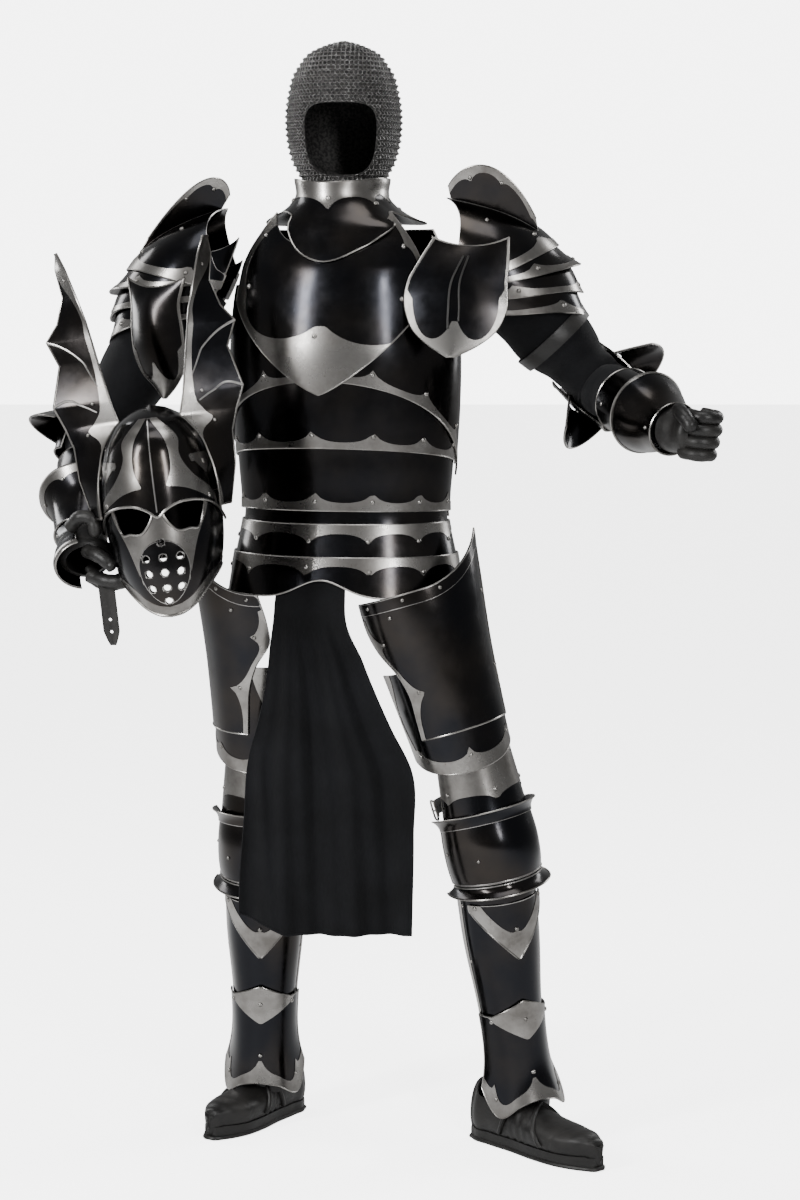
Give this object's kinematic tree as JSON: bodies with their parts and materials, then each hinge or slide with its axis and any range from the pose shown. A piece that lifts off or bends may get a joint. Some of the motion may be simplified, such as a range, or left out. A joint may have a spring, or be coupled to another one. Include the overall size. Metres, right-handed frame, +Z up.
{
  "type": "suit of plate armour",
  "caption": "Full suit of black plate armour with bright borders, mail coif, gloves, shoes and waist cloth, standing with a winged helmet carried at the hip",
  "frame": {"origin": "the middle of the neck between the shoulders, where the wearer's shoulders hold the suit up, 1.50 m above the floor", "axes": "X to the wearer's left, Y to the back of the stance, Z up; the torso is turned 16 degrees about Z towards the wearer's right"},
  "size_m": [1.1388, 0.5411, 1.8307],
  "materials": {
    "black_steel": "blackened and polished",
    "bright_steel": "satin",
    "mail": "darkened rings",
    "leather_black": "matt",
    "cloth_black": "woven"
  },
  "bodies": {
    "root": {"arm_lame_1_l": "black_steel", "arm_lame_1_r": "black_steel", "arm_lame_2_l": "black_steel", "arm_lame_2_r": "black_steel", "arm_lame_3_l": "black_steel", "arm_lame_3_r": "black_steel", "backplate": "black_steel", "belly_lower": "black_steel", "belly_upper": "black_steel", "besagew_l": "black_steel", "besagew_r": "black_steel", "breastplate": "black_steel", "chest_lame": "black_steel", "coif": "mail", "couter_l": "black_steel", "couter_r": "black_steel", "couter_wing_l": "black_steel", "couter_wing_r": "black_steel", "cuisse_l": "black_steel", "cuisse_r": "black_steel", "fauld_lower": "black_steel", "fauld_upper": "black_steel", "gauntlet_cuff_l": "black_steel", "gauntlet_cuff_r": "black_steel", "glove_l": "leather_black", "glove_r": "leather_black", "gorget": "black_steel", "greave_l": "black_steel", "greave_r": "black_steel", "haute_l": "black_steel", "haute_r": "black_steel", "helmet_brow": "black_steel", "helmet_face": "black_steel", "helmet_skull": "black_steel", "helmet_strap": "leather_black", "helmet_wing_l": "black_steel", "helmet_wing_r": "black_steel", "instep_l": "black_steel", "instep_r": "black_steel", "knee_lame_l": "black_steel", "knee_lame_r": "black_steel", "pauldron_l": "black_steel", "pauldron_r": "black_steel", "poleyn_flange_l": "black_steel", "poleyn_flange_r": "black_steel", "poleyn_l": "black_steel", "poleyn_r": "black_steel", "shin_shield_l": "black_steel", "shin_shield_r": "black_steel", "shoe_l": "leather_black", "shoe_r": "leather_black", "sleeve_l": "cloth_black", "sleeve_r": "cloth_black", "tasset_l": "black_steel", "tasset_r": "black_steel", "vambrace_l": "black_steel", "vambrace_r": "black_steel", "waist_band": "black_steel", "waist_cloth": "cloth_black"}
  },
  "joints": []
}
